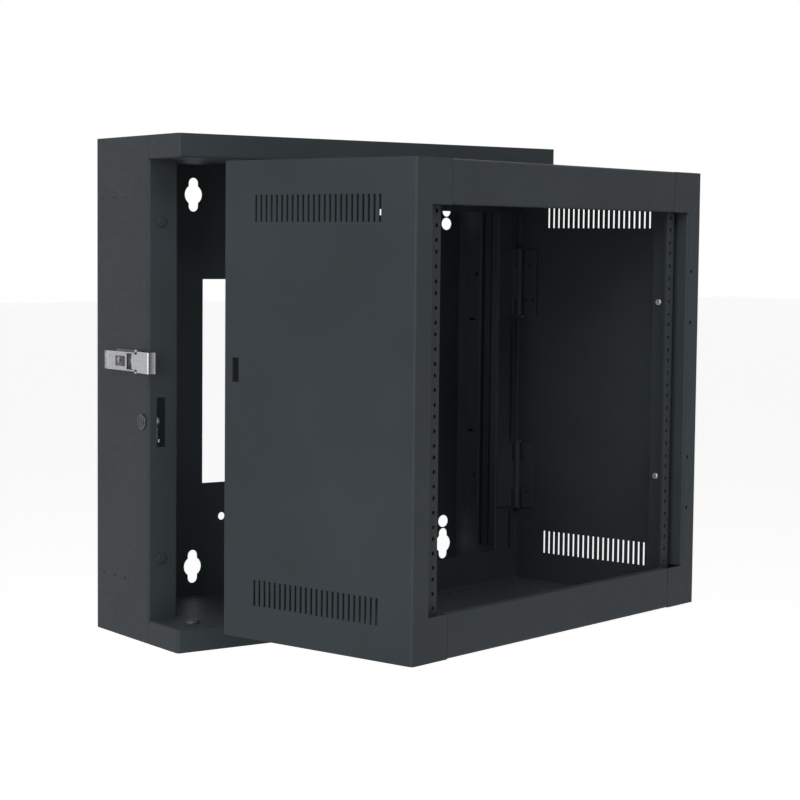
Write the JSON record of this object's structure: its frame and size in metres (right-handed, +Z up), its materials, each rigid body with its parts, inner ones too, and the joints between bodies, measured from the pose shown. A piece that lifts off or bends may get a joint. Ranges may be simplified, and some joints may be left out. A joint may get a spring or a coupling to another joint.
{
  "type": "wall mount rack",
  "caption": "Steel pan fixed to a wall with a hinged section that swings out and carries rack rails; a draw latch and a key lock hold the section shut.",
  "frame": {"origin": "centre of the wall hole pattern, on the rear panel's wall face", "axes": "+X to the right seen from the front, +Y into the wall, +Z up"},
  "size_m": [0.6515, 0.5542, 0.612],
  "materials": {
    "pan_paint": "charcoal powder coat",
    "section_paint": "charcoal powder coat",
    "rail_paint": "black powder coat",
    "hinge_paint": "charcoal powder coat",
    "zinc_steel": "zinc plated",
    "latch_chrome": "bright nickel plate",
    "lock_metal": "dark nickel plate",
    "stop_rubber": "matte",
    "glide_plastic": "satin"
  },
  "bodies": {
    "pan": {"rear_panel": "pan_paint", "left_side_wall": "pan_paint", "right_side_wall": "pan_paint", "lacing_bar": "pan_paint", "top_tray": "pan_paint", "bottom_tray": "pan_paint", "bumpers": "stop_rubber", "glide": "glide_plastic", "latch_base": "latch_chrome", "latch_pivot_studs": "zinc_steel", "latch_rivets": "zinc_steel", "lock_barrel": "lock_metal", "lock_nut": "zinc_steel", "hinge_fixed_leaf_upper": "hinge_paint", "hinge_fixed_leaf_lower": "hinge_paint", "hinge_pin_upper": "hinge_paint", "hinge_pin_lower": "hinge_paint"},
    "section": {"section_left_panel": "section_paint", "section_right_panel": "section_paint", "section_top_panel": "section_paint", "section_bottom_panel": "section_paint", "rail_left": "rail_paint", "rail_right": "rail_paint", "rail_bracket_left_upper": "rail_paint", "rail_bracket_left_lower": "rail_paint", "rail_bracket_right_upper": "rail_paint", "rail_bracket_right_lower": "rail_paint", "rail_screws": "zinc_steel", "hinge_moving_leaf_upper": "hinge_paint", "hinge_moving_leaf_lower": "hinge_paint"},
    "latch_handle": {"latch_lever": "latch_chrome", "latch_claw_pin": "zinc_steel"},
    "latch_hook": {"latch_claw": "latch_chrome"},
    "lock_core": {"lock_plug": "lock_metal", "lock_cam": "zinc_steel", "lock_cam_screw": "zinc_steel"}
  },
  "joints": [
    {"name": "section_swing", "type": "hinge", "parent": "pan", "child": "section", "pos_m": [0.276, -0.1429, 0], "axis": [0, 0, 1], "range_deg": [-15, 90]},
    {"name": "latch_lever_turn", "type": "hinge", "parent": "pan", "child": "latch_handle", "pos_m": [-0.2872, -0.112, 0.035], "axis": [0, 0, 1], "range_deg": [-5, 75]},
    {"name": "latch_claw_turn", "type": "hinge", "parent": "latch_handle", "child": "latch_hook", "pos_m": [-0.28764, -0.10702, 0.035], "axis": [0, 0, 1], "range_deg": [-120, 8]},
    {"name": "lock_turn", "type": "hinge", "parent": "pan", "child": "lock_core", "pos_m": [-0.282, -0.118, -0.0375], "axis": [-1, 0, 0], "range_deg": [0, 90]}
  ],
  "couplings": [
    {"joint": "latch_claw_turn", "follows": "latch_lever_turn", "ratio": -1.6}
  ]
}
